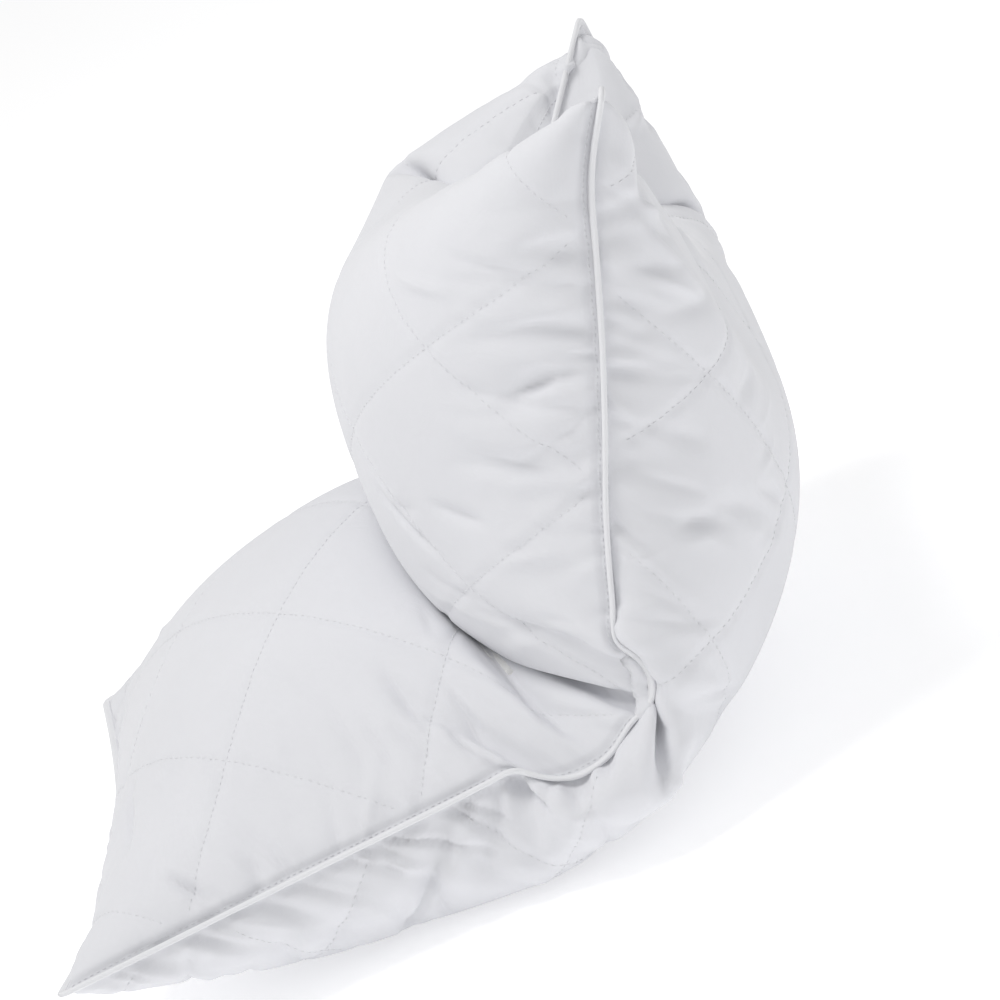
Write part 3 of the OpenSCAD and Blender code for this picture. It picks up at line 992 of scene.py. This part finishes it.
class PILLOW_OT_piping(bpy.types.Operator):
    """Build the piping sleeve and the cord inside it"""

    bl_idname = "pillow.piping"
    bl_label = "Piping"

    def execute(self, context):
        piping = context.scene.pillow_piping
        path, outs, ups = seam_frames(settled_cloth(*cut_size(context.scene)))
        turn = np.linspace(0, 2 * np.pi, 20, endpoint=False)
        out = 0.34 * piping.width + 0.5 * piping.width * np.cos(turn)
        waist = 1 - 0.42 * np.exp(-(((np.cos(turn) + 0.30) / 0.22) ** 2))
        up = 0.5 * piping.height * (1 + 0.12 * np.cos(turn)) * np.sign(np.sin(turn))
        up = up * np.abs(np.sin(turn)) ** 0.8 * waist
        cotton = woven_cloth("piping_cotton", piping.colour, yarn=0.0006, rough=0.7, sheen=0.2)
        profile = np.stack([out, up], 1)
        sleeve = add_tube("piping_sleeve", path, outs, ups, profile, cotton, around_scale=0.013)
        full_length(sleeve, "piping_cloth")
        ring = np.linspace(0, 2 * np.pi, 10, endpoint=False)
        round_cord = piping.cord_radius * np.stack([np.cos(ring), np.sin(ring)], 1)
        round_cord += np.array([0.50 * piping.width, 0])
        string = twisted_thread("cotton_cord", piping.cord_colour)
        cord = add_tube("piping_cord", path, outs, ups, round_cord, string, around_scale=0.006)
        full_length(cord, "piping_cord")
        return {"FINISHED"}


def room_inside(surface, deepest):
    """The inward way at each point of the covers, and the share of the full depth there is room for."""
    inward = -outward(surface)
    for _ in range(2):
        padded = np.pad(inward, ((0, 0), (1, 1), (1, 1), (0, 0)), mode="edge")
        inward = (2 * inward + around(padded) / 4) / 3
    inward = unit(inward)
    rows, cols = surface.shape[1:3]
    faces = np.vstack([grid_faces(rows, cols, k * rows * cols) for k in (0, 1)])
    points, ways = surface.reshape(-1, 3), inward.reshape(-1, 3)
    tree = BVHTree.FromPolygons(points.tolist(), faces.tolist())
    hits = (tree.ray_cast(Vector(p + RAY_START * w), Vector(w)) for p, w in zip(points, ways))
    reach = np.array([distance or 0.0 for _, _, _, distance in hits]).reshape(surface.shape[:3])
    for _ in range(2):
        padded = np.pad(reach, ((0, 0), (1, 1), (1, 1)), mode="edge")
        shifts = [padded[:, i : i + rows, j : j + cols] for i in range(3) for j in range(3)]
        reach = np.min(shifts, axis=0)
    return inward, np.minimum(1, ROOM_SHARE * reach / deepest)[..., None]


class PILLOW_OT_filling(bpy.types.Operator):
    """Build the wadding, the lining and the loose fill under the covers"""

    bl_idname = "pillow.filling"
    bl_label = "Filling"

    def execute(self, context):
        filling = context.scene.pillow_filling
        cloth = context.scene.pillow_cloth
        surface, _ = outer_cloth(context.scene)
        cut = cut_size(context.scene)
        outer = cloth.thickness + filling.gap + (cloth.channel + cloth.pucker + LAYER_CLEARANCE)
        wadding_end = outer + filling.wadding
        lining_start = wadding_end + filling.gap
        lining_end = lining_start + filling.lining
        heart = lining_end + 2 * filling.gap
        surface = surface[:, ::2, ::2]
        inward, share = room_inside(surface, heart)
        cells_along, cells_across = surface.shape[1] - 1, surface.shape[2] - 1
        low = round(filling.inset / cut[0] * cells_along)
        high = round(filling.end_inset / cut[0] * cells_along)
        edge = round(filling.inset / cut[1] * cells_across)
        kept = np.s_[:, low:-high, edge:-edge]
        surface, inward, share = surface[kept], inward[kept], share[kept]

        def at(panel, d):
            return surface[panel] + inward[panel] * share[panel] * d

        batt = loose_fibre("wadding_batt", filling.wadding_colour, 240.0, 0.0012)
        lining_cotton = woven_cloth("lining_cotton", filling.lining_colour, yarn=0.0009, sheen=0.1)
        pieces = [("wadding", outer, wadding_end, batt, "wadding_batt")]
        pieces.append(("lining", lining_start, lining_end, lining_cotton, "lining_cloth"))
        uv = flat_uv(surface.shape[1:3], cut)
        for stem, start, end, finish, slot in pieces:
            for k, side in enumerate(("top", "bottom")):
                layers = at(k, start), at(k, end)
                obj = add_shell(f"{side}_{stem}", *layers, finish, turned=bool(k), uv=uv)
                full_length(obj, slot)
        fibre = loose_fibre("fill_fibre", filling.fill_colour, 120.0, 0.003)
        obj = add_shell("fill", at(0, heart), at(1, heart), fibre, turned=False, uv=uv)
        full_length(obj, "loose_fill")
        return {"FINISHED"}


def quilt_rows(name, surface, normals, cut, pitch, step):
    """Rows of stitches along both families of quilting lines of one panel."""
    rows = []
    margin = QUILT_MARGIN
    for start, slope in zip(QUILT_STARTS[name], (-QUILT_SLOPE, QUILT_SLOPE)):
        reach = int((cut[0] + cut[1]) / pitch) + 2
        for k in range(-reach, reach):
            b = np.arange(margin, cut[1] - margin, step / math.hypot(1, QUILT_SLOPE))
            a = start + k * pitch + slope * b
            inside = (a > margin) & (a < cut[0] - margin)
            if inside.sum() > 2:
                rows.append(stitch_row(surface, normals, a[inside], b[inside], cut))
    return rows


class PILLOW_OT_stitching(bpy.types.Operator):
    """Build the quilting, the edge stitching and the closing stitches"""

    bl_idname = "pillow.stitching"
    bl_label = "Stitching"

    def execute(self, context):
        sewing = context.scene.pillow_stitching
        surface, normals = outer_cloth(context.scene)
        cut = cut_size(context.scene)
        thread = twisted_thread("sewing_thread", sewing.colour)
        for k, side in enumerate(("top", "bottom")):
            rows = quilt_rows(side, surface[k], normals[k], cut, sewing.quilt_pitch, sewing.stitch_pitch)
            size = sewing.stitch_length, sewing.thread_radius
            obj = add_stitches(f"{side}_quilting", rows, *size, thread)
            full_length(obj, "sewing_thread")
        top = surface[0], normals[0]
        inset = sewing.seam_inset
        a = np.arange(inset, cut[0] - inset, sewing.stitch_pitch * 0.8)
        b = np.arange(inset, cut[1] - inset, sewing.stitch_pitch * 0.8)
        rows = []
        for side in (inset, cut[1] - inset):
            rows.append(stitch_row(*top, a, np.full(len(a), side), cut))
        for end in (inset, cut[0] - inset):
            rows.append(stitch_row(*top, np.full(len(b), end), b, cut))
        size = sewing.stitch_length * 0.85, sewing.thread_radius
        obj = add_stitches("edge_stitching", rows, *size, thread)
        full_length(obj, "sewing_thread")
        middle, half = cut[1] / 2, sewing.closing_length / 2
        b = np.arange(middle - half, middle + half, sewing.stitch_pitch * 1.2)
        row = stitch_row(*top, np.full(len(b), sewing.closing_inset), b, cut)
        size = sewing.stitch_length * 1.4, sewing.thread_radius * 1.3
        obj = add_stitches("closing_stitching", [row], *size, thread)
        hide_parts("closing_stitching")
        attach(obj, "lower_half")
        return {"FINISHED"}


def soft_light(name, place, size, power, colour, aim):
    """A large square lamp turned to a point."""
    lamp = bpy.data.lights.new(name, "AREA")
    lamp.size, lamp.energy, lamp.color = size, power, colour
    obj = bpy.data.objects.new(name, lamp)
    obj.location = place
    obj.rotation_euler = (Vector(aim) - Vector(place)).to_track_quat("-Z", "Y").to_euler()
    bpy.context.scene.collection.objects.link(obj)


class PILLOW_OT_stage(bpy.types.Operator):
    """Build the floor, the soft light and the camera"""

    bl_idname = "pillow.stage"
    bl_label = "Stage"

    def execute(self, context):
        stage = context.scene.pillow_stage
        scene = context.scene
        n = stage.divisions
        side = (np.arange(n + 1) / n - 0.5) * stage.floor_size
        x, y = np.meshgrid(side, side, indexing="ij")
        verts = np.stack([x.ravel(), y.ravel(), 0 * x.ravel()], 1)
        floor = add_mesh("floor", verts, grid_faces(n + 1, n + 1), studio_paper(stage.floor_colour))
        world = scene.world or bpy.data.worlds.new("studio")
        scene.world = world
        world.use_nodes = True
        sky = world.node_tree.nodes["Background"]
        sky.inputs["Color"].default_value = (1.0, 1.0, 1.0, 1)
        sky.inputs["Strength"].default_value = stage.sky
        aim = FOLD + np.array([-0.005, 0, 0.13])
        soft_light("key_light", KEY_PLACE, KEY_SIZE, stage.key, KEY_COLOUR, aim)
        soft_light("back_light", BACK_PLACE, BACK_SIZE, stage.back, BACK_COLOUR, aim)
        self.add_camera(scene, stage)
        scene.view_settings.view_transform = "Standard"
        return {"FINISHED"}

    def add_camera(self, scene, stage):
        """A long lens on the near seam, with the picture tilted."""
        target = Vector((FOLD[0] - 0.005, 0.020 - EAR_REACH, SEAM_LEVEL + 0.1335))
        level = math.cos(stage.elevation)
        sideways, forward = math.sin(stage.azimuth) * level, math.cos(stage.azimuth) * level
        back = Vector((sideways, -forward, math.sin(stage.elevation)))
        right = (-back).cross(Vector((0, 0, 1))).normalized()
        up = right.cross(-back)
        tilted = right * math.cos(stage.roll) - up * math.sin(stage.roll)
        up = right * math.sin(stage.roll) + up * math.cos(stage.roll)
        camera = bpy.data.cameras.new("camera")
        camera.lens = stage.lens
        camera.clip_end = 200
        obj = bpy.data.objects.new("camera", camera)
        turn = Matrix((tilted, up, back)).transposed().to_4x4()
        obj.matrix_world = Matrix.Translation(target + back * stage.distance) @ turn
        scene.collection.objects.link(obj)
        scene.camera = obj


OPERATORS = (
    PILLOW_OT_stage,
    PILLOW_OT_covers,
    PILLOW_OT_piping,
    PILLOW_OT_filling,
    PILLOW_OT_stitching,
)


class PILLOW_PT_panel(bpy.types.Panel):
    """Lists the pillow's pieces and their settings"""

    bl_idname = "PILLOW_PT_panel"
    bl_label = "Folded Bed Pillow"
    bl_space_type = "VIEW_3D"
    bl_region_type = "UI"
    bl_category = "Pillow"

    def draw(self, context):
        for operator in OPERATORS:
            self.layout.operator(operator.bl_idname)
        for name, group in GROUPS.items():
            box = self.layout.box()
            settings = getattr(context.scene, name)
            for prop in group.__annotations__:
                box.prop(settings, prop)


CLASSES = (*GROUPS.values(), *OPERATORS, PILLOW_PT_panel)


def register():
    for cls in CLASSES:
        bpy.utils.register_class(cls)
    for name, group in GROUPS.items():
        setattr(bpy.types.Scene, name, PointerProperty(type=group))


def unregister():
    for name in GROUPS:
        delattr(bpy.types.Scene, name)
    for cls in reversed(CLASSES):
        bpy.utils.unregister_class(cls)


def main():
    register()
    bpy.ops.pillow.stage()
    bpy.ops.pillow.covers()
    bpy.ops.pillow.piping()
    bpy.ops.pillow.filling()
    bpy.ops.pillow.stitching()


if __name__ == "__main__":
    main()
